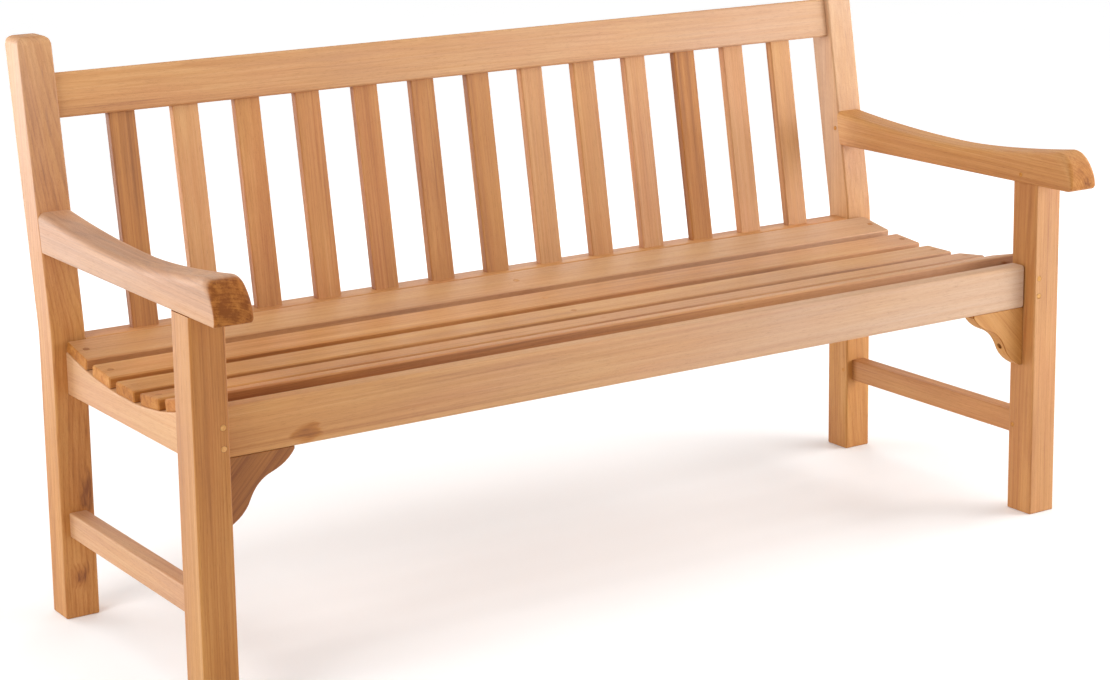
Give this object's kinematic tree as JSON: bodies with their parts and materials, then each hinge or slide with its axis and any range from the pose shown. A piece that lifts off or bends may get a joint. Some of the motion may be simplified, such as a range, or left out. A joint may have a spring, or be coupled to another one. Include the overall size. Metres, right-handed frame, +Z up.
{
  "type": "garden bench",
  "caption": "Slatted teak garden bench with a dished seat, a raked slatted back, shaped arms and pegged mortise and tenon end frames.",
  "frame": {"origin": "on the ground, under the middle of the bench's bounding box", "axes": "+X along the seat, +Y from the front of the seat to the back, +Z up"},
  "size_m": [1.65, 0.715, 0.918],
  "materials": {
    "teak": "bare sanded teak",
    "teak_peg": "bare end grain",
    "steel": "plain stainless"
  },
  "bodies": {
    "root": {"arm_pegs": "teak_peg", "armrest_left": "teak", "armrest_right": "teak", "back_rail_pegs": "teak_peg", "back_slat_1": "teak", "back_slat_10": "teak", "back_slat_11": "teak", "back_slat_12": "teak", "back_slat_13": "teak", "back_slat_2": "teak", "back_slat_3": "teak", "back_slat_4": "teak", "back_slat_5": "teak", "back_slat_6": "teak", "back_slat_7": "teak", "back_slat_8": "teak", "back_slat_9": "teak", "bracket_screws": "steel", "corner_bracket_left": "teak", "corner_bracket_right": "teak", "front_leg_left": "teak", "front_leg_right": "teak", "front_rail": "teak", "front_rail_pegs": "teak_peg", "rear_leg_left": "teak", "rear_leg_right": "teak", "rear_rail": "teak", "seat_bearer": "teak", "seat_plugs": "teak", "seat_screws": "steel", "seat_slat_1": "teak", "seat_slat_2": "teak", "seat_slat_3": "teak", "seat_slat_4": "teak", "seat_slat_5": "teak", "side_rail_left": "teak", "side_rail_pegs": "teak_peg", "side_rail_right": "teak", "side_stretcher_left": "teak", "side_stretcher_right": "teak", "stretcher_pegs": "teak_peg", "top_rail": "teak"}
  },
  "joints": []
}
